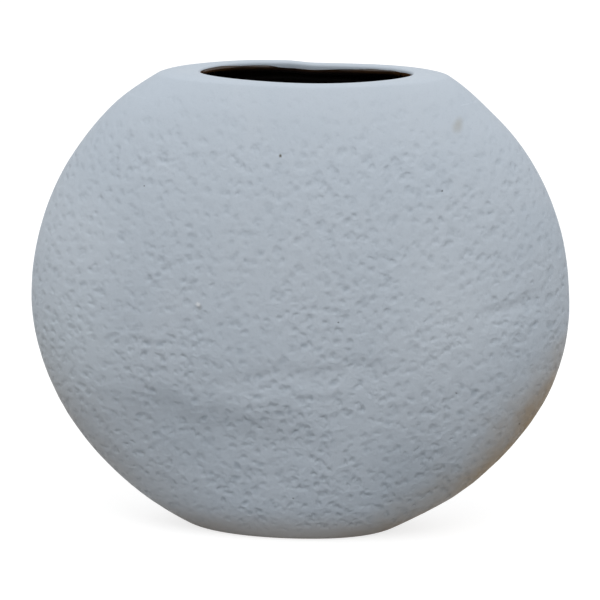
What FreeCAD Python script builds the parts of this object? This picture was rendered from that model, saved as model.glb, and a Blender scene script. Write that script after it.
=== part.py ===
import FreeCAD
import Part
import math
import os

# Pillow vase: a flattened round vessel with an oval mouth and an oval foot, in millimetres.
# +Z is up and the origin is on the table under the middle of the vase. X runs along the width
# and +Y towards the front. Every level cut through the vase is an ellipse. Its two half axes
# follow the front outline and the side outline, so wall, rim and glaze all come from one form.

# Body, from the table to the lip
BODY_WIDTH = 300.0
BODY_DEPTH = 116.0
BODY_HEIGHT = 261.0
WIDEST_HEIGHT = 130.5
LOWER_FULLNESS_POWER = 1.86  # 2 is a true ellipse, and less makes the sides below the belly straighter
UPPER_FULLNESS_POWER = 2.04

# Clay wall, and the slab that closes the bottom
WALL = 5.0
SLAB_THICKNESS = 7.0
FLOOR_ROUND = 6.0

# Foot
FOOT_WIDTH = 116.0
FOOT_DEPTH = 58.0
FOOT_ROUND = 2.0
STANDING_RING_WIDTH = 9.0
FOOT_RECESS_DEPTH = 2.0

# Mouth, and the ring of clay around it
MOUTH_WIDTH = 117.0
MOUTH_DEPTH = 50.0
LIP_WIDTH_AT_SIDES = 5.0
LIP_WIDTH_AT_ENDS = 18.5
LIP_OUTER_ROUND = 2.1
LIP_INNER_ROUND = 1.7
SHOULDER_ROUND = 12.0
RIM_HEIGHT = 13.0

# Glaze inside
GLAZE_THICKNESS = 0.8
GLAZE_LINE_DEPTH = 3.4

# How finely the outlines are sampled, and how far a cutter runs past what it cuts
BODY_SECTIONS = 8
ROUND_SECTIONS = 5
THROAT_SECTIONS = 6
OVERRUN = 10.0

# Heights of the throat curve's four guide points, as shares of the way up from the rim's joint
THROAT_GUIDE_SHARES = (0.0, 0.7, 0.6, 1.0)

RIM_LEVEL = BODY_HEIGHT - RIM_HEIGHT
THROAT_TOP = BODY_HEIGHT - LIP_OUTER_ROUND
GLAZE_LINE = BODY_HEIGHT - GLAZE_LINE_DEPTH
LIP_WIDTH = MOUTH_WIDTH + 2 * LIP_WIDTH_AT_ENDS
LIP_DEPTH = MOUTH_DEPTH + 2 * LIP_WIDTH_AT_SIDES

# Half sizes at the belly, the foot and the lip, seen from the front and from the side
FRONT_OUTLINE = (BODY_WIDTH / 2, FOOT_WIDTH / 2, LIP_WIDTH / 2)
SIDE_OUTLINE = (BODY_DEPTH / 2, FOOT_DEPTH / 2, LIP_DEPTH / 2)


def half_size(outline, height):
    """Half the outer width or depth at a height, on a full curve through foot, belly and lip."""
    belly, foot, lip = outline
    if height < WIDEST_HEIGHT:
        reach, end, power = WIDEST_HEIGHT, foot, LOWER_FULLNESS_POWER
    else:
        reach, end, power = BODY_HEIGHT - WIDEST_HEIGHT, lip, UPPER_FULLNESS_POWER
    share = abs(height - WIDEST_HEIGHT) / reach
    return belly * (1 - share**power * (1 - (end / belly) ** power)) ** (1 / power)


def lean(outline, height):
    """How fast an outline moves outwards as the height grows, taken across a short step."""
    step = WALL / 100
    return (half_size(outline, height + step) - half_size(outline, height - step)) / (2 * step)


def section(height, inset=0, clay=0, thinning=0):
    """A level ellipse on the outer form, or inside it.

    clay is a depth measured square to the wall, and inset and thinning are taken off the
    half width and the half depth on top of that.
    """
    half_width = half_size(FRONT_OUTLINE, height) - clay * math.hypot(1, lean(FRONT_OUTLINE, height))
    half_depth = half_size(SIDE_OUTLINE, height) - clay * math.hypot(1, lean(SIDE_OUTLINE, height))
    return height, half_width - inset, half_depth - thinning


def spaced_heights(low, high):
    """Heights from low up to the widest one and on to high, closer together towards both ends."""
    above = BODY_HEIGHT - WIDEST_HEIGHT
    start = math.asin((low - WIDEST_HEIGHT) / WIDEST_HEIGHT) / BODY_SECTIONS
    end = math.asin((high - WIDEST_HEIGHT) / above) / BODY_SECTIONS
    lower = [WIDEST_HEIGHT * (1 + math.sin(start * step)) for step in range(BODY_SECTIONS, 0, -1)]
    upper = [WIDEST_HEIGHT + above * math.sin(end * step) for step in range(BODY_SECTIONS + 1)]
    return lower + upper


def quarter_round():
    """Shares of rise and inset through a quarter turn, for rounding an edge off."""
    turns = [math.pi / 2 * step / ROUND_SECTIONS for step in range(1, ROUND_SECTIONS + 1)]
    return [(math.sin(turn), 1 - math.cos(turn)) for turn in turns]


def outer_sections():
    """Level sections of the outer form, from the foot to the lip."""
    sections = []
    for rise, inset in reversed(quarter_round()):
        foot_inset = FOOT_ROUND * inset
        sections.append(section(FOOT_ROUND * (1 - rise), foot_inset, thinning=foot_inset))
    for height in spaced_heights(FOOT_ROUND, THROAT_TOP):
        sections.append(section(height))
    for rise, inset in quarter_round():
        height = THROAT_TOP + LIP_OUTER_ROUND * rise
        sections.append(section(height, SHOULDER_ROUND * inset, thinning=LIP_OUTER_ROUND * inset))
    return sections


def along_guide(points, share):
    """The point at a share of the way along the curve that four guide values draw."""
    rest = 1 - share
    weights = (rest**3, 3 * rest**2 * share, 3 * rest * share**2, share**3)
    return sum(weight * point for weight, point in zip(weights, points))


def throat_sections(start, glaze):
    """Sections that turn the hollow in under the lip and then straight up through the mouth."""
    climb = THROAT_TOP - RIM_LEVEL
    low, roof, bend, top = [RIM_LEVEL + share * climb for share in THROAT_GUIDE_SHARES]
    guides = [(low, roof - glaze, bend - glaze, top)]
    mouth = (MOUTH_WIDTH / 2 - glaze, MOUTH_DEPTH / 2 - glaze)
    for outline, half_start, half_mouth in zip((FRONT_OUTLINE, SIDE_OUTLINE), start[1:], mouth):
        half_roof = half_start + lean(outline, RIM_LEVEL) * (roof - glaze - low)
        guides.append((half_start, half_roof, half_mouth, half_mouth))
    shares = [step / THROAT_SECTIONS for step in range(1, THROAT_SECTIONS + 1)]
    return [tuple(along_guide(guide, share) for guide in guides) for share in shares]


def inner_sections(glaze=0):
    """Level sections of the hollow, from the floor to the lip, inside a glaze of some thickness."""
    floor = SLAB_THICKNESS + glaze
    clay = WALL + glaze
    sections = []
    for rise, inset in reversed(quarter_round()):
        corner_inset = FLOOR_ROUND * inset
        sections.append(section(floor + FLOOR_ROUND * (1 - rise), corner_inset, clay, corner_inset))
    for height in spaced_heights(floor + FLOOR_ROUND, RIM_LEVEL):
        sections.append(section(height, clay=clay))
    return sections + throat_sections(sections[-1], glaze)


def ellipse_wire(height, half_width, half_depth):
    """A level ellipse, wider than it is deep, as a wire of four quarters."""
    long_end = FreeCAD.Vector(half_width, 0, height)
    short_end = FreeCAD.Vector(0, half_depth, height)
    curve = Part.Ellipse(long_end, short_end, FreeCAD.Vector(0, 0, height))
    quarter = math.pi / 2
    return Part.Wire([Part.Edge(curve, part * quarter, (part + 1) * quarter) for part in range(4)])


def loft(sections):
    """One closed solid through level ellipses."""
    return Part.makeLoft([ellipse_wire(*sizes) for sizes in sections], True, False)


def oval_plug(bottom, top, half_width, half_depth):
    """A straight upright solid with an oval plan."""
    face = Part.Face(ellipse_wire(bottom, half_width, half_depth))
    return face.extrude(FreeCAD.Vector(0, 0, top - bottom))


def slice_block(bottom, top, rear_part=True, front_part=True):
    """A block round all that lies between two levels, in front of the seam, behind it or both."""
    length = BODY_WIDTH + 2 * OVERRUN
    reach = BODY_DEPTH / 2 + OVERRUN
    start = -reach if rear_part else 0
    end = reach if front_part else 0
    return Part.makeBox(length, end - start, top - bottom, FreeCAD.Vector(-length / 2, start, bottom))


def foot_slab(clay):
    """The oval slab that closes the bottom, hollowed under so that it stands on a ring."""
    inset = FOOT_ROUND + STANDING_RING_WIDTH
    half_width = FOOT_WIDTH / 2 - inset
    half_depth = FOOT_DEPTH / 2 - inset
    recess = oval_plug(-OVERRUN, FOOT_RECESS_DEPTH, half_width, half_depth)
    return clay.common(slice_block(-OVERRUN, SLAB_THICKNESS)).cut(recess)


def runs_round_mouth(edge):
    """True for the edges where the throat comes out through the top of the lip."""
    middle = edge.valueAt((edge.FirstParameter + edge.LastParameter) / 2)
    place = math.hypot(2 * middle.x / MOUTH_WIDTH, 2 * middle.y / MOUTH_DEPTH)
    at_top = middle.z > BODY_HEIGHT - LIP_INNER_ROUND
    return at_top and abs(place - 1) < LIP_INNER_ROUND / MOUTH_DEPTH


def mouth_rim(clay):
    """The smooth ring of clay around the mouth, with its inner edge rolled over."""
    ring = clay.common(slice_block(RIM_LEVEL, BODY_HEIGHT + OVERRUN))
    return ring.makeFillet(LIP_INNER_ROUND, [edge for edge in ring.Edges if runs_round_mouth(edge)])


def glaze_lining(hollow):
    """The coat of glaze on the inside of the clay, from the floor up to the glaze line."""
    filled = hollow.common(slice_block(-OVERRUN, GLAZE_LINE))
    return filled.cut(loft(inner_sections(GLAZE_THICKNESS)))


def build():
    """Every piece of the vase, by name."""
    hollow = loft(inner_sections())
    throat = oval_plug(THROAT_TOP, BODY_HEIGHT + OVERRUN, MOUTH_WIDTH / 2, MOUTH_DEPTH / 2)
    clay = loft(outer_sections()).cut(hollow).cut(throat)
    return {
        "rear_shell": clay.common(slice_block(SLAB_THICKNESS, RIM_LEVEL, front_part=False)),
        "front_shell": clay.common(slice_block(SLAB_THICKNESS, RIM_LEVEL, rear_part=False)),
        "foot_slab": foot_slab(clay),
        "mouth_rim": mouth_rim(clay),
        "glaze_lining": glaze_lining(hollow),
    }


os.makedirs("parts", exist_ok=True)
for name, shape in build().items():
    print(name, len(shape.Solids), shape.isValid(), round(shape.Volume))
    shape.exportStep(os.path.join("parts", name + ".step"))
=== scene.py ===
"""Pillow vase: the clay pieces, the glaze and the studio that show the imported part.

Everything is in metres in the part's own frame. +Z is up, the origin is on the table under the
middle of the vase, X runs along its width, and the rear face, which the camera sees, looks along -Y.
"""

import logging
import math
import random
from bisect import bisect_left
from dataclasses import dataclass, field
from enum import Enum
from functools import cached_property
from typing import Callable, NamedTuple, Optional, Sequence

import bmesh
import bpy
from mathutils import Matrix, Vector, kdtree, noise


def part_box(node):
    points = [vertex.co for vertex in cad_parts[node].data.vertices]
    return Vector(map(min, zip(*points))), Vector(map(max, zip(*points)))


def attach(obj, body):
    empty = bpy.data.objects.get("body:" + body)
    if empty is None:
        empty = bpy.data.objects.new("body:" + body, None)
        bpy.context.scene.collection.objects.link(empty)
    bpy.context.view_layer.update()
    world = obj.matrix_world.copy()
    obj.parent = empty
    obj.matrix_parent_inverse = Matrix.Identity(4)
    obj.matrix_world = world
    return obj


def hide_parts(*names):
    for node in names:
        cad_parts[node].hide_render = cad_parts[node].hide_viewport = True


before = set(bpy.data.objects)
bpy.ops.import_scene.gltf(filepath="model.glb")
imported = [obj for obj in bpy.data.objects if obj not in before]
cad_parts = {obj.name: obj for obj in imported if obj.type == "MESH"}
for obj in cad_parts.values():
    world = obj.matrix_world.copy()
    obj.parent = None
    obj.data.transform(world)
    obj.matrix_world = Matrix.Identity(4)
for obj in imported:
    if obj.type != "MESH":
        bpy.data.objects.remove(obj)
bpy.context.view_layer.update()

MM = 0.001

Span = tuple[float, float]
Triple = tuple[float, float, float]
Colour = Triple
Mesh = bmesh.types.BMesh
Material = bpy.types.Material

log = logging.getLogger("vase")


class Half(Enum):
    """The two press-moulded halves, with the turn that brings a half into its place."""

    FRONT = 0.0
    REAR = math.pi


class CellMark(Enum):
    """What the distance in a pattern of cells is measured from."""

    MIDDLE = "F1"
    SOFT_MIDDLE = "SMOOTH_F1"
    BORDER = "DISTANCE_TO_EDGE"


class Ring(NamedTuple):
    """A level ellipse: its height, half width and half depth."""

    height: float
    half_width: float
    half_depth: float

    def at(self, turn: float) -> Vector:
        """The point at one of the ellipse's own angles, from +X."""
        return Vector((self.half_width * math.cos(turn), self.half_depth * math.sin(turn), self.height))

    def reach(self, point: Vector) -> float:
        """How far out a point is in plan, as a share of the ellipse: 1 on it."""
        return math.hypot(point.x / self.half_width, point.y / self.half_depth)

    def mean_size(self) -> float:
        """The half size of a circle that is about as long."""
        return math.sqrt((self.half_width**2 + self.half_depth**2) / 2.0)

    def grown(self, share: float, extra: float = 0.0) -> "Ring":
        """The ellipse at a share of its size, with some more all round."""
        return Ring(self.height, self.half_width * share + extra, self.half_depth * share + extra)

    def toward(self, other: "Ring", share: float) -> "Ring":
        """An ellipse a share of the way from this one to another."""
        return Ring(*(here + (there - here) * share for here, there in zip(self, other)))


class Outline(NamedTuple):
    """Half sizes of the body at the belly, the foot and the lip, seen from one side."""

    belly: float
    foot: float
    lip: float


def smooth_step(low: float, high: float, value: float) -> float:
    """Ease a value from 0 at low to 1 at high."""
    share = min(1.0, max(0.0, (value - low) / (high - low)))
    return share * share * (3.0 - 2.0 * share)


def soft_noise(point: Vector, spacing: float, shift: Triple = (0.0, 0.0, 0.0)) -> float:
    """Soft noise of a spacing at a point, about 0, with a shift that keeps two patterns apart."""
    return noise.noise(point / spacing + Vector(shift))


def quarter_turns(count: int) -> list[Span]:
    """The rise and the inset of a unit rounding after each of some even steps."""
    turns = [math.pi / 2 * step / count for step in range(1, count + 1)]
    return [(math.sin(turn), 1.0 - math.cos(turn)) for turn in turns]


def climbs(rings: Sequence[Ring], start: float = 0.0) -> list[float]:
    """Add up the length up the middle of the face.

    Args:
        rings: Ellipses from low to high.
        start: The length at the lowest one.

    Returns:
        The length at each ellipse.
    """
    lengths = [start]
    for before, after in zip(rings, rings[1:]):
        step = math.hypot(after.height - before.height, after.half_depth - before.half_depth)
        lengths.append(lengths[-1] + step)
    return lengths


@dataclass(frozen=True)
class BodyForm:
    """The form that every piece shares: outside, wall, throat and lip."""

    height: float
    belly: Span
    slab: float
    rim_height: float
    foot: Span = (58.0 * MM, 29.0 * MM)
    lip: Span = (77.0 * MM, 30.0 * MM)
    mouth: Span = (58.5 * MM, 25.0 * MM)
    widest_height: float = 130.5 * MM
    lower_power: float = 1.86
    upper_power: float = 2.04
    wall: float = 5.0 * MM
    floor_round: float = 6.0 * MM
    foot_round: float = 2.0 * MM
    lip_outer_round: float = 2.1 * MM
    lip_inner_round: float = 1.7 * MM
    shoulder_round: float = 12.0 * MM
    throat_shares: tuple[float, ...] = (0.0, 0.7, 0.6, 1.0)
    corner_steps: int = 6
    samples: int = 4000

    @classmethod
    def packed(cls) -> "BodyForm":
        """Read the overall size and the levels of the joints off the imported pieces.

        Returns:
            The form, with those sizes to a tenth of a millimetre.
        """
        shell, (rim_low, rim_high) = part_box("front_shell"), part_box("mouth_rim")
        sizes = (rim_high.z, shell[1].x, shell[1].y, shell[0].z, rim_high.z - rim_low.z)
        height, wide, deep, slab, rim_height = (round(size, 4) for size in sizes)
        return cls(height, (wide, deep), slab, rim_height)

    @cached_property
    def front(self) -> Outline:
        """The outline seen from the front."""
        return Outline(self.belly[0], self.foot[0], self.lip[0])

    @cached_property
    def side(self) -> Outline:
        """The outline seen from the side."""
        return Outline(self.belly[1], self.foot[1], self.lip[1])

    @cached_property
    def rim_level(self) -> float:
        """Height of the joint under the rim."""
        return self.height - self.rim_height

    @cached_property
    def throat_top(self) -> float:
        """Height at which the lip starts to round off."""
        return self.height - self.lip_outer_round

    def half_size(self, outline: Outline, height: float) -> float:
        """Half the outer size at a height.

        Args:
            outline: The front or the side outline.
            height: Height above the table.

        Returns:
            The half width or half depth.
        """
        if height < self.widest_height:
            reach, end, power = self.widest_height, outline.foot, self.lower_power
        else:
            reach, end, power = self.height - self.widest_height, outline.lip, self.upper_power
        share = min(1.0, abs(height - self.widest_height) / reach)
        drop = share**power * (1.0 - (end / outline.belly) ** power)
        return outline.belly * (1.0 - drop) ** (1.0 / power)

    def lean(self, outline: Outline, height: float) -> float:
        """How fast an outline moves outwards as the height grows.

        Args:
            outline: The front or the side outline.
            height: Height above the table.

        Returns:
            Metres outwards for each metre up.
        """
        step = self.wall / 100.0
        low, high = max(0.0, height - step), min(self.height, height + step)
        return (self.half_size(outline, high) - self.half_size(outline, low)) / (high - low)

    def normal(self, point: Vector, ring: Ring) -> Vector:
        """The direction straight out of the outside.

        Args:
            point: A point of the outside.
            ring: The ellipse that it lies on.

        Returns:
            The direction, of length 1.
        """
        wide, deep = point.x / ring.half_width, point.y / ring.half_depth
        lean = wide * wide * self.lean(self.front, ring.height) / ring.half_width
        lean += deep * deep * self.lean(self.side, ring.height) / ring.half_depth
        return Vector((wide / ring.half_width, deep / ring.half_depth, -lean)).normalized()

    def ring(self, height: float, depth: float = 0.0, inset: float = 0.0, thinning: float = 0.0) -> Ring:
        """A level ellipse on the outer form or inside it.

        Args:
            height: Height above the table.
            depth: Distance inside the outer form, square to its slope.
            inset: Taken off the half width on top of that.
            thinning: Taken off the half depth on top of that.

        Returns:
            The ellipse.
        """
        half_width, half_depth = [
            self.half_size(outline, height) - depth * math.hypot(1.0, self.lean(outline, height))
            for outline in (self.front, self.side)
        ]
        return Ring(height, half_width - inset, half_depth - thinning)

    def outer_rings(self, low: float, high: float, count: int) -> list[Ring]:
        """Ellipses up the outside, at even steps along its slope.

        Args:
            low: Lowest height.
            high: Highest height.
            count: Number of steps.

        Returns:
            One more ellipse than there are steps, from low to high.
        """
        fine = [self.ring(low + (high - low) * step / self.samples) for step in range(self.samples + 1)]
        lengths = [0.0]
        for before, after in zip(fine, fine[1:]):
            across = math.hypot(after.half_width - before.half_width, after.half_depth - before.half_depth)
            slope = math.hypot(after.height - before.height, across / math.sqrt(2.0))
            lengths.append(lengths[-1] + slope)
        marks = [lengths[-1] * step / count for step in range(count + 1)]
        return [fine[min(self.samples, bisect_left(lengths, mark))] for mark in marks]

    def throat_ring(self, share: float, glaze: float = 0.0) -> Ring:
        """An ellipse of the curve that turns the hollow in under the lip.

        Args:
            share: Share of the way from the rim's joint up to the lip.
            glaze: Thickness of the glaze that lies on the clay.

        Returns:
            The ellipse.
        """
        climb = self.throat_top - self.rim_level
        low, roof, bend, top = [self.rim_level + part * climb for part in self.throat_shares]
        start = self.ring(self.rim_level, self.wall + glaze)
        guides = [(low, roof - glaze, bend - glaze, top)]
        for outline, half_start, half_mouth in zip((self.front, self.side), start[1:], self.mouth):
            half_roof = half_start + self.lean(outline, self.rim_level) * (roof - glaze - low)
            guides.append((half_start, half_roof, half_mouth - glaze, half_mouth - glaze))
        rest = 1.0 - share
        weights = (rest**3, 3.0 * rest**2 * share, 3.0 * rest * share**2, share**3)
        return Ring(*(sum(weight * point for weight, point in zip(weights, guide)) for guide in guides))

    def inner_rings(self, count: int, glaze: float = 0.0) -> list[Ring]:
        """Ellipses of the hollow from its floor to the rim's joint.

        Args:
            count: Number of steps up the wall.
            glaze: Thickness of the glaze that lies on the clay.

        Returns:
            The ellipses from the floor up.
        """
        floor, depth = self.slab + glaze, self.wall + glaze
        rings = []
        for rise, inset in reversed(quarter_turns(self.corner_steps)):
            corner = self.floor_round * inset
            rings.append(self.ring(floor + self.floor_round * (1.0 - rise), depth, corner, corner))
        low = floor + self.floor_round
        for step in range(count + 1):
            share = 0.5 - 0.5 * math.cos(math.pi * step / count)
            rings.append(self.ring(low + (self.rim_level - low) * share, depth))
        return rings


@dataclass(frozen=True)
class Settling:
    """How the soft clay moved before it was fired.

    The rim leans and dips, its outside slips sideways, one side sags and one end of the foot
    is tucked in.
    """

    mouth: Span
    lean: float = 0.018
    rise: float = 0.35 * MM
    dip: float = 0.95 * MM
    dip_middle: float = 9.0 * MM
    dip_reach: float = 62.0 * MM
    far_left: float = 1.1 * MM
    far_zone: Span = (4.0 * MM, 20.0 * MM)
    left_zone: Span = (-12.0 * MM, 6.0 * MM)
    left_fall: Span = (25.0 * MM, 60.0 * MM)
    rim_zone: Span = (239.0 * MM, 260.0 * MM)
    slip: float = 1.9 * MM
    slip_zone: Span = (212.0 * MM, 268.0 * MM)
    slip_edge: Span = (1.02, 1.3)
    sag: float = 2.0 * MM
    sag_height: float = 80.0 * MM
    sag_reach: float = 68.0 * MM
    sag_side: float = 100.0 * MM
    tuck: float = 3.2 * MM
    tuck_zone: Span = (4.0 * MM, 26.0 * MM)
    tuck_side: Span = (15.0 * MM, 60.0 * MM)

    def settled(self, point: Vector) -> Vector:
        """The place that a point of the even form moves to with the clay."""
        return Vector((point.x + self._sideways(point), point.y, point.z + self._upwards(point)))

    def _upwards(self, point: Vector) -> float:
        """How far the rim's lean, its dip and its high far left side lift a point.

        Args:
            point: A point of the even form.

        Returns:
            The lift in metres.
        """
        rim = self.rise + self.lean * point.x
        rim -= self.dip * (1.0 - smooth_step(0.0, self.dip_reach, abs(point.x - self.dip_middle)))
        left = smooth_step(*self.far_zone, point.y) * (1.0 - smooth_step(*self.left_zone, point.x))
        rim += self.far_left * left * (1.0 - 0.5 * smooth_step(*self.left_fall, -point.x))
        return rim * smooth_step(*self.rim_zone, point.z)

    def _sideways(self, point: Vector) -> float:
        """How far the sag moves a point to the right, less the tuck and the slip.

        Args:
            point: A point of the even form.

        Returns:
            The move in metres.
        """
        down = 1.0 - smooth_step(0.0, self.sag_reach, abs(point.z - self.sag_height))
        out = self.sag * down * smooth_step(0.0, self.sag_side, point.x)
        low = 1.0 - smooth_step(*self.tuck_zone, point.z)
        out -= self.tuck * low * smooth_step(*self.tuck_side, point.x)
        beside = smooth_step(*self.slip_edge, Ring(0.0, *self.mouth).reach(point))
        return out - self.slip * beside * smooth_step(*self.slip_zone, point.z)


class OvalWheel:
    """Turns a profile of ellipses into an oval piece."""

    DIVISIONS = 5
    SAMPLES = 2000
    SMALLEST = 0.01 * MM

    def __init__(self, form: BodyForm) -> None:
        """Measure the belly's ellipse, so that steps can be even along it.

        Args:
            form: The form whose belly sets the even steps.
        """
        wide, deep = form.belly
        turns = [math.pi * step / self.SAMPLES for step in range(self.SAMPLES + 1)]
        self._step = turns[1]
        self._lengths = [0.0]
        for before, after in zip(turns, turns[1:]):
            across, along = math.cos(after) - math.cos(before), math.sin(after) - math.sin(before)
            self._lengths.append(self._lengths[-1] + math.hypot(wide * across, deep * along))

    def even_turn(self, turn: float) -> float:
        """Turn an even angle into the ellipse's own angle at that share of its length.

        Args:
            turn: Angle round the axis, from 0 to a full turn.

        Returns:
            The angle to put into the ellipse.
        """
        halves, rest = divmod(turn, math.pi)
        mark = self._lengths[-1] * rest / math.pi
        after = min(max(1, bisect_left(self._lengths, mark)), self.SAMPLES)
        low, high = self._lengths[after - 1], self._lengths[after]
        return halves * math.pi + (after - 1 + (mark - low) / (high - low)) * self._step

    def turned(
        self,
        rings: Sequence[Ring],
        place: Callable[[int, float], Vector],
        steps: int,
        half: Optional[Half] = None,
        closed: bool = True,
    ) -> Mesh:
        """Spin a profile and lay each point of it on its ellipse.

        Args:
            rings: The profile, as the ellipses that its points run along.
            place: Gives a point from the number of its ellipse and the ellipse's own angle.
            steps: Number of steps round the piece.
            half: The half to turn, or none for the whole way round.
            closed: True if the profile's last point joins its first.

        Returns:
            The spun mesh, with the number of its ellipse and the even angle kept on each vertex.
        """
        mesh = bmesh.new()
        station = mesh.verts.layers.int.new("station")
        around = mesh.verts.layers.float.new("around")
        chain = []
        for number, ring in enumerate(rings):
            vertex = mesh.verts.new((max(ring.half_width, self.SMALLEST), 0.0, ring.height))
            vertex[station] = number
            chain.append(vertex)
        pairs = list(zip(chain, chain[1:])) + ([(chain[-1], chain[0])] if closed else [])
        edges = [mesh.edges.new(pair) for pair in pairs]
        bmesh.ops.spin(
            mesh,
            geom=chain + edges,
            cent=(0.0, 0.0, 0.0),
            axis=(0.0, 0.0, 1.0),
            angle=math.tau if half is None else math.pi,
            steps=steps // (self.DIVISIONS + 1),
            use_merge=half is None,
            use_duplicate=False,
        )
        level = [edge for edge in mesh.edges if edge.verts[0][station] == edge.verts[1][station]]
        bmesh.ops.subdivide_edges(mesh, edges=level, cuts=self.DIVISIONS)
        start = 0.0 if half is None else half.value
        for vertex in mesh.verts:
            turn = math.atan2(vertex.co.y, vertex.co.x) % math.tau
            # A half's first step can come out just under a full turn.
            if half is not None and turn > 1.5 * math.pi:
                turn = 0.0
            vertex[around] = turn
            vertex.co = place(vertex[station], self.even_turn(start + turn))
        return mesh


class Crease(NamedTuple):
    """A soft fold across the rear face: steep above its line, and slowly back out below it.

    Its ends are given across and up, bow is how far its middle lies above the straight line
    between them, and above and below are how far it reaches on either side.
    """

    start: Span
    end: Span
    bow: float
    above: float
    below: float
    depth: float

    def depth_at(self, point: Vector, wander: float) -> float:
        """How deep the fold is at a point of the outside.

        Args:
            point: The point.
            wander: How far the fold strays off its line there.

        Returns:
            The depth in metres.
        """
        start, place = Vector(self.start), Vector((point.x, point.z))
        way = Vector(self.end) - start
        share = (place - start).dot(way) / way.length_squared
        if not 0.0 < share < 1.0:
            return 0.0
        off = (place - start).cross(way.normalized()) + self.bow * 4.0 * share * (1.0 - share) + wander
        ends = smooth_step(0.0, 0.3, share) * smooth_step(0.0, 0.3, 1.0 - share)
        reach = self.below if off > 0.0 else self.above
        return self.depth * ends * (1.0 - smooth_step(0.0, reach, abs(off)))


class Pit(NamedTuple):
    """One pressed pit: its middle, its long way along the face, its half sizes and its depth."""

    middle: Vector
    along: Vector
    half_length: float
    half_width: float
    depth: float


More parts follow.
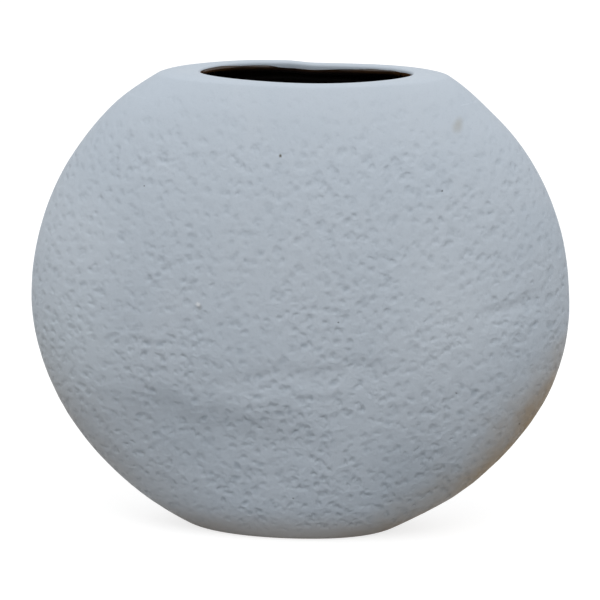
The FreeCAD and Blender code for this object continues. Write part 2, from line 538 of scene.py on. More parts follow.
@dataclass
class PressedPits:
    """The soft pits all over the matt faces, some run together, and the slow swell of the wall."""

    form: BodyForm
    wheel: OvalWheel
    seed: int = 11
    rows: int = 37
    spacing: float = 8.5 * MM
    half_width: Span = (1.4 * MM, 2.8 * MM)
    smallness_power: float = 1.6
    stretch: Span = (1.0, 1.45)
    steepness: float = 0.2
    least_depth: float = 0.35
    tilt: float = 1.1
    steep_share: float = 0.2
    steep_tilt: float = 1.2
    run_share: float = 0.2
    run_length: int = 4
    run_turn: float = 0.7
    run_step: float = 1.3
    wander: float = 1.3 * MM
    wander_spacing: float = 6.0 * MM
    bank: float = 0.2
    bank_reach: float = 2.2
    wrinkle: float = 0.17 * MM
    wrinkle_spacing: float = 7.0 * MM
    swell: float = 0.18 * MM
    swell_spacing: float = 46.0 * MM
    ripple: float = 0.13 * MM
    ripple_spacing: float = 15.0 * MM
    ripple_zone: Span = (60.0 * MM, 160.0 * MM)
    patch_spacing: float = 24.0 * MM
    patch_zone: Span = (90.0 * MM, 215.0 * MM)
    rim_fade: Span = (2.0 * MM, 32.0 * MM)
    foot_fade: float = 9.0 * MM
    seam_fade: float = 14.0 * MM
    dimple_seam_fade: float = 5.0 * MM
    seam_share: float = 0.12
    collar: float = 0.36
    creases: tuple[Crease, ...] = (
        Crease((-66.0 * MM, 97.0 * MM), (72.0 * MM, 113.0 * MM), 0.0, 10.0 * MM, 16.0 * MM, 0.8 * MM),
        Crease((-126.0 * MM, 80.0 * MM), (34.0 * MM, 54.0 * MM), -3.0 * MM, 27.0 * MM, 44.0 * MM, 2.5 * MM),
        Crease((-90.0 * MM, 81.0 * MM), (16.0 * MM, 68.0 * MM), -2.0 * MM, 11.0 * MM, 20.0 * MM, 0.45 * MM),
        Crease((94.0 * MM, 134.0 * MM), (140.0 * MM, 148.0 * MM), 0.0, 9.0 * MM, 14.0 * MM, 0.9 * MM),
    )
    crease_wander: float = 7.0 * MM
    crease_spacing: float = 20.0 * MM
    pits: list[Pit] = field(default_factory=list)
    tree: Optional[kdtree.KDTree] = None

    def scatter(self) -> None:
        """Lay the pits out in rows up the wall, each shaken out of its place, and file them by place."""
        chance = random.Random(self.seed)
        noise.seed_set(self.seed)
        levels = self.form.outer_rings(self.form.slab, self.form.rim_level, self.rows)
        for ring in levels[1:-1]:
            count = max(8, round(math.tau * ring.mean_size() / self.spacing))
            for number in range(count):
                turn = self.wheel.even_turn((math.tau * (number + chance.random()) / count) % math.tau)
                middle = ring.at(turn) + Vector((0.0, 0.0, self.spacing * (chance.random() - 0.5)))
                self._add_run(middle, turn, chance)
        self.tree = kdtree.KDTree(len(self.pits))
        for number, pit in enumerate(self.pits):
            self.tree.insert(pit.middle, number)
        self.tree.balance()

    def _add_run(self, middle: Vector, turn: float, chance: random.Random) -> None:
        """Add one pit, and now and then a few more that run on from it.

        Args:
            middle: The first pit's middle.
            turn: The ellipse's own angle there.
            chance: The dice.
        """
        belly = Ring(0.0, *self.form.belly)
        level = (belly.at(turn + 0.01) - belly.at(turn - 0.01)).normalized()
        heading = self.tilt * chance.uniform(-1.0, 1.0)
        heading += 0.0 if chance.random() < 1.0 - self.steep_share else self.steep_tilt
        more = chance.randint(1, self.run_length) if chance.random() < self.run_share else 0
        for _ in range(1 + more):
            low, high = self.half_width
            half_width = low + (high - low) * chance.random() ** self.smallness_power
            half_length = half_width * chance.uniform(*self.stretch)
            along = level * math.cos(heading) + Vector((0.0, 0.0, math.sin(heading)))
            depth = half_width * self.steepness * chance.uniform(self.least_depth, 1.0)
            self.pits.append(Pit(middle.copy(), along, half_length, half_width, depth))
            heading += chance.uniform(-self.run_turn, self.run_turn)
            middle = middle + along * (half_length * self.run_step)

    def _off_seam(self, point: Vector, reach: float) -> float:
        """How much is left beside the side seams of what fades out towards them, as a share."""
        return self.seam_share + (1.0 - self.seam_share) * smooth_step(0.0, reach, abs(point.y))

    def fade(self, point: Vector) -> float:
        """How much of the pits is left near the joints and the side seams.

        Args:
            point: A point of the outside.

        Returns:
            A share from 0 at a joint to 1 on the open face.
        """
        from_rim = smooth_step(*self.rim_fade, self.form.rim_level - point.z)
        from_foot = smooth_step(0.0, self.foot_fade, point.z - self.form.slab)
        return from_rim * from_foot * self._off_seam(point, self.seam_fade)

    def dimples(self, point: Vector) -> float:
        """How strong the small dimples are, which run on faintly up the rim.

        Args:
            point: A point of the outside or the rim.

        Returns:
            A share from 0 at the lip to 1 on the open face.
        """
        below = self.form.rim_level - point.z
        from_rim = self.collar * smooth_step(-self.form.rim_height, 0.0, below)
        from_rim += (1.0 - self.collar) * smooth_step(*self.rim_fade, below)
        from_foot = smooth_step(self.form.foot_round, self.form.foot_round + self.foot_fade, point.z)
        return from_rim * from_foot * self._off_seam(point, self.dimple_seam_fade)

    def press(self, point: Vector) -> Span:
        """How deep the deepest pit is at a point, and how high the clay pushed up round the pits.

        Args:
            point: A point of the outside.

        Returns:
            The depth and the height of the pushed-up clay, in metres.
        """
        place = point + noise.noise_vector(point / self.wander_spacing) * self.wander
        reach = self.half_width[1] * self.stretch[1] * math.sqrt(self.bank_reach)
        deepest, highest = 0.0, 0.0
        for _, number, distance in self.tree.find_range(place, reach):
            pit = self.pits[number]
            along = (place - pit.middle).dot(pit.along)
            across = distance * distance - along * along
            far = (along / pit.half_length) ** 2 + across / pit.half_width**2
            if far < 1.0:
                deepest = max(deepest, pit.depth * (1.0 - far) ** 2)
                highest = max(highest, pit.depth * far * far)
            elif far < self.bank_reach:
                left = (self.bank_reach - far) / (self.bank_reach - 1.0)
                highest = max(highest, pit.depth * left**2)
        return deepest, self.bank * highest

    def strength(self, point: Vector) -> float:
        """How strong the pits are in a patch of the face, more so low down, as a share."""
        patch = 0.95 + 0.6 * soft_noise(point, self.patch_spacing, (3.1, 8.2, 1.4))
        return patch * (1.3 - 0.55 * smooth_step(*self.patch_zone, point.z))

    def outward(self, point: Vector) -> float:
        """How far the swell, the ripple and the rear face's creases move the wall outwards.

        Args:
            point: A point of the outside.

        Returns:
            The move in metres, below 0 for inwards.
        """
        swell = self.swell * soft_noise(point, self.swell_spacing, (1.7, 5.9, 2.2))
        lower = 1.4 - 0.8 * smooth_step(*self.ripple_zone, point.z)
        swell += self.ripple * lower * soft_noise(point, self.ripple_spacing, (4.4, 0.3, 7.1))
        if point.y >= 0.0:
            return swell
        wander = self.crease_wander * soft_noise(point, self.crease_spacing)
        crease = sum(crease.depth_at(point, wander) for crease in self.creases)
        return swell - crease * smooth_step(0.0, self.seam_fade, -point.y)

    def wrinkles(self, point: Vector) -> float:
        """The fine uneven land between the pits, as a height."""
        place = point / self.wrinkle_spacing
        return self.wrinkle * (noise.noise(place) + 0.45 * noise.noise(place * 2.3))


@dataclass
class TurnedPiece:
    """What the turned pieces share, from the spun mesh to the piece that stands for its node."""

    form: BodyForm
    wheel: OvalWheel
    pits: PressedPits
    finishes: Sequence[Material]
    round_steps: int = 300
    weld: float = 0.02 * MM
    sharp_angle: float = math.radians(50.0)
    skin_squeeze: Span = (1.1, 0.45)

    def turned(self, rings: Sequence[Ring], half: Optional[Half] = None, closed: bool = True) -> Mesh:
        """Turn a profile, the whole way round or one half, with each point on its own ellipse."""
        return self.wheel.turned(
            rings, lambda number, turn: rings[number].at(turn), self.round_steps, half, closed
        )

    def lay_skin(
        self, mesh: Mesh, rings: Sequence[Ring], lengths: dict[int, float], half: Optional[Half] = None
    ) -> None:
        """Give the outside its flat coordinates and dimple strength, for the coat to read.

        The coordinates are how far a point is round its half and up the face, closer together
        higher up. A half's own turn is added, which keeps the two halves' patterns apart.

        Args:
            mesh: The piece's mesh.
            rings: Its profile.
            lengths: The length up the middle of the face at each ellipse of the outside.
            half: The half that the mesh is, or none for the whole way round.
        """
        station = mesh.verts.layers.int["station"]
        around = mesh.verts.layers.float["around"]
        open_face = mesh.verts.layers.float.new("open")
        skin = mesh.verts.layers.float_vector.new("skin")
        start, squeeze = self.skin_squeeze
        for vertex in mesh.verts:
            if vertex[station] not in lengths:
                continue
            turn, climb, own = vertex[around], lengths[vertex[station]], half
            if half is None:
                own = Half.REAR if turn >= math.pi else Half.FRONT
                turn -= own.value
            across = (turn - math.pi / 2.0) * rings[vertex[station]].mean_size() + own.value
            vertex[skin] = Vector((across, climb * (start - squeeze * climb), 0.0))
            vertex[open_face] = self.pits.dimples(vertex.co)

    def finish(self, mesh: Mesh, name: str, node: str, slot: str) -> None:
        """Turn a mesh into a piece that stands for a node.

        Args:
            mesh: The piece's mesh, which is freed.
            name: The piece's name.
            node: The node that it stands for.
            slot: The name of a material slot, which is not used.
        """
        bmesh.ops.recalc_face_normals(mesh, faces=mesh.faces)
        if mesh.calc_volume(signed=True) < 0.0:
            bmesh.ops.reverse_faces(mesh, faces=mesh.faces)
        settling = Settling(self.form.mouth)
        for vertex in mesh.verts:
            vertex.co = settling.settled(vertex.co)
        for face in mesh.faces:
            face.smooth = True
        for edge in mesh.edges:
            edge.smooth = len(edge.link_faces) == 2 and edge.calc_face_angle() < self.sharp_angle
        data = bpy.data.meshes.new(name)
        mesh.to_mesh(data)
        mesh.free()
        for finish in self.finishes:
            data.materials.append(finish)
        piece = bpy.data.objects.new(name, data)
        bpy.context.scene.collection.objects.link(piece)
        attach(piece, "root")
        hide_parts(node)
        log.info("%s: %d faces", name, len(data.polygons))


class Value:
    """A number, place or colour that a recipe works out at each point of a surface."""

    def __init__(self, recipe: "Recipe", socket: bpy.types.NodeSocket) -> None:
        """Keep the recipe and the socket that gives the value."""
        self.recipe = recipe
        self.socket = socket

    def joined(self, operation: str, other: "Value | float" = 0.0) -> "Value":
        """This value and another put through one kind of sum, such as MAXIMUM."""
        return self.recipe.value("Math", {0: self, 1: other}, operation=operation)

    def __add__(self, other: "Value | float") -> "Value":
        """The two values added up."""
        return self.joined("ADD", other)

    def __sub__(self, other: "Value | float") -> "Value":
        """This value less another."""
        return self.joined("SUBTRACT", other)

    def __mul__(self, other: "Value | float") -> "Value":
        """The two values multiplied."""
        return self.joined("MULTIPLY", other)

    def ramp(self, low: float, high: float, start: float = 0.0, end: float = 1.0) -> "Value":
        """Ease the value from the range low to high to the range start to end."""
        limits = {"From Min": low, "From Max": high, "To Min": start, "To Max": end}
        return self.recipe.value("MapRange", {"Value": self, **limits}, interpolation_type="SMOOTHSTEP")


class Recipe:
    """Adds and joins the nodes of one material, or of the sky."""

    def __init__(self, owner: "Material | bpy.types.World") -> None:
        """Start from the owner's own nodes.

        Args:
            owner: The new material or world.
        """
        owner.use_nodes = True
        self.owner = owner
        self.tree = owner.node_tree

    @cached_property
    def place(self) -> Value:
        """The piece's own coordinates."""
        return self.value("TexCoord", {}, "Object")

    @cached_property
    def parts(self) -> dict[str, Value]:
        """The same coordinates one by one, as X, Y and Z."""
        return {part.name: Value(self, part) for part in self.node("SeparateXYZ", {0: self.place}).outputs}

    @cached_property
    def shown(self) -> Value:
        """Tell what the camera sees, straight or in gloss or glass, from what only lights something.

        Returns:
            1 for what it sees, and 0 for all other light.
        """
        path = self.node("LightPath", {}).outputs
        rays = [Value(self, path[f"Is {kind} Ray"]) for kind in ("Camera", "Glossy", "Transmission")]
        return rays[0].joined("MAXIMUM", rays[1]).joined("MAXIMUM", rays[2])

    def fill(self, node: bpy.types.Node, inputs: dict) -> None:
        """Fill a node's inputs.

        Args:
            node: The node.
            inputs: Values to join and plain numbers to set, by the input's name or number.
        """
        for key, value in inputs.items():
            if isinstance(value, Value):
                self.tree.links.new(value.socket, node.inputs[key])
            else:
                node.inputs[key].default_value = value

    def node(self, kind: str, inputs: dict, **settings: object) -> bpy.types.Node:
        """Add a node.

        Args:
            kind: The node's type name without its ShaderNode prefix.
            inputs: Values to join and plain numbers to set, by the input's name or number.
            **settings: The node's own settings.

        Returns:
            The node.
        """
        made = self.tree.nodes.new("ShaderNode" + kind)
        for name, setting in settings.items():
            setattr(made, name, setting)
        self.fill(made, inputs)
        return made

    def value(self, kind: str, inputs: dict, output: "int | str" = 0, **settings: object) -> Value:
        """Add a node and give back one of its outputs, by name or number."""
        return Value(self, self.node(kind, inputs, **settings).outputs[output])

    def grain(self, scale: float, detail: float = 2.0, roughness: float = 0.5, pull: float = 0.0) -> Value:
        """Noise over the piece, about 0.5: cycles for each metre, finer layers, their strength and a pull."""
        values = {"Scale": scale, "Detail": detail, "Roughness": roughness, "Distortion": pull}
        return self.value("TexNoise", {"Vector": self.place, **values}, "Fac")

    def attribute(self, name: str, output: str = "Fac") -> Value:
        """A value that the mesh carries: Fac for a number, Vector for a place."""
        return self.value("Attribute", {}, output, attribute_name=name)

    def pulled(self, place: Value, wander: float, scale: float) -> Value:
        """Coordinates that are pulled about, so that a pattern on them is uneven.

        Args:
            place: The coordinates.
            wander: How far they are pulled, in metres.
            scale: Cycles of the pull for each metre.

        Returns:
            The pulled coordinates.
        """
        pull = self.value("TexNoise", {"Vector": self.place, "Scale": scale, "Detail": 1.0}, "Color")
        moved = self.value("VectorMath", {0: pull, 1: (wander, wander, wander)}, operation="MULTIPLY")
        return self.value("VectorMath", {0: place, 1: moved}, operation="ADD")

    def cells(self, place: Value, spacing: float, mark: CellMark = CellMark.MIDDLE) -> Value:
        """Flat cells of a spacing, read as the distance from a mark, in cells."""
        inputs = {"Vector": place, "Scale": 1.0 / spacing}
        return self.value("TexVoronoi", inputs, "Distance", voronoi_dimensions="2D", feature=mark.value)

    def blend(self, share: Value, first: "Value | Colour", second: "Value | Colour") -> Value:
        """Mix two colours, with share as how much of the second."""
        ends = [colour if isinstance(colour, Value) else (*colour, 1.0) for colour in (first, second)]
        return self.value("Mix", {0: share, 6: ends[0], 7: ends[1]}, 2, data_type="RGBA")

    def bump(self, height: Value, distance: float, under: Optional[Value] = None) -> Value:
        """Raise a pattern by a distance for a full step in it, over a coarser bump if there is one."""
        inputs = {"Height": height, "Distance": distance, "Strength": 1.0}
        return self.value("Bump", inputs if under is None else {**inputs, "Normal": under})

    def finish(self, inputs: dict) -> Material:
        """Fill the inputs of the Principled shader and give back the material."""
        self.fill(self.tree.nodes["Principled BSDF"], inputs)
        return self.owner


class Spot(NamedTuple):
    """A spot on the rear face, a small flaw or a broad patch of painted light or of painted shade: its place
    across and up, radius, colour and strength.
    """

    across: float
    up: float
    radius: float
    colour: Colour
    strength: float


@dataclass(frozen=True)
class MattCoat:
    """The pale blue-grey matt coat over the whole outside."""

    pale: Colour = (0.48, 0.536, 0.6)
    cool: Colour = (0.468, 0.527, 0.594)
    # Colour of the painted warm, dim bounce light from the table near the foot.
    brown: Colour = (0.29, 0.23, 0.17)
    # Colour of the painted warm reflection low on the side seams.
    painted_reflection_warm: Colour = (0.3, 0.212, 0.11)
    # Colour of the painted shade in the pits and dimples, and of the fine dark specks.
    shade_and_speck: Colour = (0.27, 0.325, 0.38)
    specular: float = 0.3
    # Share of painted shade, partly a darker tint, in the pressed pits.
    pit_shade_and_tint: float = 0.4
    dimple_spacing: float = 6.1 * MM
    dimple_depth: float = 0.45 * MM
    dimple_wander: float = 2.4 * MM
    # Share of painted shade, partly a darker tint, in the dimples.
    dimple_shade_and_tint: float = 0.14
    ridge_height: float = 0.24
    pock_spacing: float = 3.3 * MM
    pock_wander: float = 1.2 * MM
    pock_share: float = 0.06
    grain_depth: float = 0.035 * MM
    # Height at which the painted bounce light near the foot ends.
    brown_top: float = 22.0 * MM
    # Reach, bend and wander of the painted warm reflection along the side seams.
    seam_reach: float = 31.0 * MM
    seam_bend: float = 66.0 * MM
    seam_rise: float = 52.0 * MM
    seam_edge: Span = (0.12, 1.35)
    seam_wander: float = 0.7
    seam_side: Span = (-20.0 * MM, 50.0 * MM)
    left_share: float = 0.32
    spot_wander: float = 0.8 * MM
    flaws_and_painted_patches: tuple[Spot, ...] = (
        Spot(-12.5 * MM, 224.5 * MM, 1.3 * MM, (0.07, 0.055, 0.03), 0.95),
        Spot(-54.2 * MM, 140.2 * MM, 2.2 * MM, (0.16, 0.16, 0.16), 0.5),
        Spot(-55.2 * MM, 141.9 * MM, 1.9 * MM, (0.76, 0.78, 0.8), 0.75),
        Spot(83.6 * MM, 238.6 * MM, 4.6 * MM, (0.3, 0.27, 0.2), 0.34),
        Spot(84.6 * MM, 241.4 * MM, 3.4 * MM, (0.3, 0.27, 0.2), 0.22),
        Spot(-86.2 * MM, 203.9 * MM, 0.7 * MM, (0.05, 0.05, 0.05), 0.8),
        Spot(76.1 * MM, 206.4 * MM, 0.8 * MM, (0.05, 0.05, 0.05), 0.8),
        Spot(21.6 * MM, 134.8 * MM, 0.8 * MM, (0.05, 0.05, 0.05), 0.8),
        Spot(124.6 * MM, 68.9 * MM, 0.9 * MM, (0.06, 0.05, 0.04), 0.7),
        Spot(-0.2 * MM, 28.4 * MM, 0.9 * MM, (0.08, 0.08, 0.08), 0.7),
        Spot(87.8 * MM, 93.0 * MM, 0.8 * MM, (0.06, 0.06, 0.06), 0.7),
        # The broad patches from here on are painted: painted shade low on the left and the right, painted
        # light along the left edge and right of the middle.
        Spot(-62.0 * MM, 66.0 * MM, 50.0 * MM, (0.2, 0.25, 0.3), 0.17),
        Spot(-24.0 * MM, 66.0 * MM, 36.0 * MM, (0.2, 0.25, 0.3), 0.08),
        Spot(68.0 * MM, 46.0 * MM, 40.0 * MM, (0.2, 0.24, 0.28), 0.19),
        Spot(84.0 * MM, 140.0 * MM, 56.0 * MM, (0.7, 0.76, 0.82), 0.16),
        Spot(-130.0 * MM, 166.0 * MM, 52.0 * MM, (0.7, 0.76, 0.82), 0.2),
        Spot(-132.0 * MM, 108.0 * MM, 52.0 * MM, (0.68, 0.76, 0.82), 0.24),
    )

    def material(self) -> Material:
        """Make the coat: soft mottling, dimples, a fine grain, a few flaws, broad patches of painted light
        and shade, painted shade in the pits, and painted warm light from the table low on the seams and at
        the foot.

        Returns:
            The material.
        """
        recipe = Recipe(bpy.data.materials.new("matt_coat"))
        relief, shade = self._relief(recipe)
        grain = recipe.bump(recipe.grain(1400.0, 2.0, 0.5), self.grain_depth)
        return recipe.finish(
            {
                "Base Color": self._with_flaws_and_painted_patches(recipe, self._colour(recipe, shade)),
                "Roughness": recipe.grain(260.0, 2.0).ramp(0.3, 0.7, 0.58, 0.7),
                "Normal": recipe.bump(relief, self.dimple_depth, grain),
                "Specular IOR Level": self.specular,
            }
        )

    def _relief(self, recipe: Recipe) -> tuple[Value, Value]:
        """The dimples, the ridges between them and the small pocks.

        Args:
            recipe: The coat's recipe.

        Returns:
            Their height, in dimple depths, and how much darker the coat is painted in them, partly as painted
            shade in the hollows and partly as a darker tint.
        """
        skin = recipe.attribute("skin", "Vector")
        uneven = recipe.pulled(skin, self.dimple_wander, 240.0)
        dimple = recipe.cells(uneven, self.dimple_spacing, CellMark.SOFT_MIDDLE).ramp(0.0, 0.5, 1.0, 0.0)
        dimple *= recipe.grain(150.0, 1.0).ramp(0.38, 0.62, 0.24, 1.26)
        ridge = recipe.cells(uneven, self.dimple_spacing, CellMark.BORDER).ramp(0.0, 0.3, 1.0, 0.0)
        ridge *= recipe.grain(140.0, 1.0).ramp(0.45, 0.62)
        finer = recipe.pulled(skin, self.pock_wander, 500.0)
        pock = recipe.cells(finer, self.pock_spacing).ramp(0.05, 0.4, 1.0, 0.0) * self.pock_share
        lower = recipe.parts["Z"].ramp(0.05, 0.16, 1.3, 0.9)
        lower *= recipe.grain(24.0, 1.0).ramp(0.36, 0.62, 0.7, 1.26)
        open_face = recipe.attribute("open")
        relief = (ridge * self.ridge_height - dimple - pock) * open_face * lower
        return relief, (dimple * self.dimple_shade_and_tint + pock) * open_face

    def _colour(self, recipe: Recipe, shade: Value) -> Value:
        """The coat's colour without its flaws, with painted shade in the pits and the dimples and painted
        warm light low on the seams and at the foot.

        Args:
            recipe: The coat's recipe.
            shade: How much darker it is painted in the dimples, partly painted shade and partly a darker
                tint.

        Returns:
            The colour.
        """
        mottle = recipe.grain(16.0, 3.0, 0.55, 0.4).ramp(0.38, 0.62)
        colour = recipe.blend(mottle, self.pale, self.cool)
        # Painted shade in the pressed pits, partly a darker tint, and on the lip's inner edge down the
        # throat.
        pit = recipe.attribute("pit").ramp(0.1, 1.3) * self.pit_shade_and_tint
        colour = recipe.blend(pit, colour, self.shade_and_speck)
        # Painted reflection: a warm brown blended in along the side seams, most of all low on the right.
        colour = recipe.blend(self._painted_seam_reflection(recipe), colour, self.painted_reflection_warm)
        # Painted warm bounce light from the table: the coat is blended to a darker brown towards the foot.
        foot = recipe.parts["Z"].ramp(0.0, self.brown_top, 0.55, 0.0)
        colour = recipe.blend(foot, colour, self.brown)
        # Painted shade in the dimples and pocks, partly a darker tint.
        colour = recipe.blend(shade, colour, self.shade_and_speck)
        speckle = recipe.grain(1100.0, 2.0, 0.6).ramp(0.52, 0.8, 0.0, 0.18)
        return recipe.blend(speckle, colour, self.shade_and_speck)

    def _painted_seam_reflection(self, recipe: Recipe) -> Value:
        """Where a warm reflection of the table is painted along the side seams, most of all low on the right.

        Args:
            recipe: The coat's recipe.

        Returns:
            A share from 0 to 1.
        """
        up = (recipe.parts["Z"] - self.seam_bend) * (1.0 / self.seam_rise)
        up = up.joined("MAXIMUM", 0.0)
        across = recipe.parts["Y"] * (1.0 / self.seam_reach)
        far = (up * up + across * across).joined("SQRT")
        far += recipe.grain(36.0, 3.0, 0.6, 0.4) * self.seam_wander
        near, edge = [reach + self.seam_wander / 2.0 for reach in self.seam_edge]
        from_foot = recipe.parts["Z"].ramp(0.0, 0.05, 0.8, 1.0)
        from_left = recipe.parts["X"].ramp(*self.seam_side, self.left_share, 1.0)
        return far.ramp(near, edge, 1.0, 0.0) * from_foot * from_left

    def _with_flaws_and_painted_patches(self, recipe: Recipe, colour: Value) -> Value:
        """Lay the few flaws of the rear face, and its broad patches of painted light and shade, over a
        colour.

        Args:
            recipe: The coat's recipe.
            colour: The colour so far.

        Returns:
            The colour with the flaws.
        """
        place = recipe.pulled(recipe.place, self.spot_wander, 900.0)
        flat = recipe.value("VectorMath", {0: place, 1: (1.0, 0.0, 1.0)}, operation="MULTIPLY")
        rear = recipe.parts["Y"].ramp(-6.0 * MM, 0.0, 1.0, 0.0)
        for spot in self.flaws_and_painted_patches:
            ends = {0: flat, 1: (spot.across, 0.0, spot.up)}
            gap = recipe.value("VectorMath", ends, "Value", operation="DISTANCE")
            share = gap.ramp(0.1 * spot.radius, spot.radius, spot.strength, 0.0)
            colour = recipe.blend(share * rear, colour, spot.colour)
        return colour


@dataclass(frozen=True)
class BareClay:
    """The unglazed stoneware under the foot, rubbed smooth where it stands."""

    buff: Colour = (0.42, 0.35, 0.27)
    iron: Colour = (0.26, 0.18, 0.12)
    sand_depth: float = 0.16 * MM

    def material(self) -> Material:
        """Make the clay: sandy grain with darker iron specks.

        Returns:
            The material.
        """
        recipe = Recipe(bpy.data.materials.new("bare_clay"))
        patches = recipe.grain(45.0, 3.0).ramp(0.35, 0.65, 0.0, 0.45)
        specks = recipe.grain(700.0, 1.0).ramp(0.62, 0.72, 0.0, 0.8)
        return recipe.finish(
            {
                "Base Color": recipe.blend(specks, recipe.blend(patches, self.buff, self.iron), self.iron),
                "Roughness": recipe.grain(90.0).ramp(0.3, 0.7, 0.78, 0.92),
                "Normal": recipe.bump(recipe.grain(1100.0, 3.0, 0.7), self.sand_depth),
            }
        )


@dataclass(frozen=True)
class DarkGlaze:
    """The glossy near-black glaze inside, which breaks to red-brown where it runs thin."""

    deep: Colour = (0.006, 0.004, 0.0035)
    thin: Colour = (0.1, 0.045, 0.013)
    ripple_depth: float = 0.25 * MM
    coat_weight: float = 0.5
    coat_roughness: float = 0.04

    def material(self) -> Material:
        """Make the glaze: thin at its edge, a slow ripple, a hard gloss.

        Returns:
            The material.
        """
        recipe = Recipe(bpy.data.materials.new("dark_glaze"))
        streaks = recipe.grain(60.0, 3.0, 0.6, 0.8).ramp(0.4, 0.7) * 0.6 + 0.4
        return recipe.finish(
            {
                "Base Color": recipe.blend(recipe.attribute("thin") * streaks, self.deep, self.thin),
                "Roughness": recipe.grain(120.0, 2.0).ramp(0.3, 0.7, 0.1, 0.2),
                "Normal": recipe.bump(recipe.grain(70.0, 1.0), self.ripple_depth),
                "Coat Weight": self.coat_weight,
                "Coat Roughness": self.coat_roughness,
            }
        )


@dataclass
class HalfShells(TurnedPiece):
    """The two press-moulded halves of the body, with the pits in their faces."""

    round_steps: int = 306
    outer_steps: int = 290
    inner_steps: int = 20
    joint_fade: float = 20.0 * MM
    pit_unit: float = 0.5 * MM

    def build(self, half: Half, node: str) -> None:
        """Turn one half, close it at the seam and press the pits in.

        Args:
            half: Which half.
            node: The node that it stands for.
        """
        outside = self.form.outer_rings(self.form.slab, self.form.rim_level, self.outer_steps)
        rings = outside + self.form.inner_rings(self.inner_steps)[::-1]
        mesh = self.turned(rings, half)
        bmesh.ops.edgeloop_fill(mesh, edges=[edge for edge in mesh.edges if edge.is_boundary])
        self.lay_skin(mesh, rings, dict(enumerate(climbs(outside))), half)
        station = mesh.verts.layers.int["station"]
        pit = mesh.verts.layers.float.new("pit")
        for vertex in mesh.verts:
            if vertex[station] < len(outside):
                vertex.co, vertex[pit] = self._pressed(vertex.co.copy(), rings[vertex[station]])
        self.finish(mesh, node + "_clay", node, "matt_clay")

    def _pressed(self, point: Vector, ring: Ring) -> tuple[Vector, float]:
        """Move one point of the outside in or out along the form's own normal.

        Args:
            point: The point.
            ring: The ellipse that it lies on.

        Returns:
            The point's new place, and how deep the pit is there, in units that the coat reads for the painted
            shade in the pits.
        """
        strength = self.pits.strength(point) * self.pits.fade(point)
        depth, bank = self.pits.press(point)
        open_share = smooth_step(0.0, self.joint_fade, self.form.rim_level - point.z)
        open_share *= smooth_step(0.0, self.joint_fade, point.z - self.form.slab)
        move = self.pits.outward(point) * open_share + strength * (self.pits.wrinkles(point) + bank - depth)
        return point + self.form.normal(point, ring) * move, strength * depth / self.pit_unit


@dataclass
class MouthRim(TurnedPiece):
    """The smooth ring of clay round the mouth, with its rolled lip."""

    round_steps: int = 360
    outer_steps: int = 26
    shoulder_steps: int = 12
    lip_steps: int = 8
    throat_steps: int = 12
    # Strength and reach of the painted shade down the inner edge of the lip.
    inner_shade: float = 1.3
    inner_reach: float = 2.6 * MM

    def rings(self) -> list[Ring]:
        """List the ring's profile, from the joint up over the lip and down the throat.

        Returns:
            The ellipses that its points run along.
        """
        form = self.form
        rings = form.outer_rings(form.rim_level, form.throat_top, self.outer_steps)
        for rise, inset in quarter_turns(self.shoulder_steps):
            height = form.throat_top + form.lip_outer_round * rise
            rings.append(form.ring(height, 0.0, form.shoulder_round * inset, form.lip_outer_round * inset))
        for rise, inset in reversed([(0.0, 0.0)] + quarter_turns(self.lip_steps)):
            mouth = Ring(form.height - form.lip_inner_round * (1.0 - rise), *form.mouth)
            rings.append(mouth.grown(1.0, form.lip_inner_round * inset))
        throat = [form.throat_ring(1.0 - step / self.throat_steps) for step in range(self.throat_steps + 1)]
        return rings + throat

    def build(self) -> None:
        """Turn the ring and paint shade on its inner edge, deeper down into the throat."""
        rings = self.rings()
        mesh = self.turned(rings)
        shell = self.form.outer_rings(self.form.slab, self.form.rim_level, HalfShells.outer_steps)
        lengths = climbs(rings[: self.outer_steps + 1], climbs(shell)[-1])
        self.lay_skin(mesh, rings, dict(enumerate(lengths)))
        station = mesh.verts.layers.int["station"]
        pit = mesh.verts.layers.float.new("pit")
        for vertex in mesh.verts:
            # Painted shade on the lip's inner edge, deeper down the throat, which the coat reads as pit
            # shade.
            if vertex[station] > self.outer_steps + self.shoulder_steps:
                below = self.form.height - vertex.co.z
                vertex[pit] = self.inner_shade * smooth_step(0.0, self.inner_reach, below)
        self.finish(mesh, "mouth_rim_clay", "mouth_rim", "matt_clay")


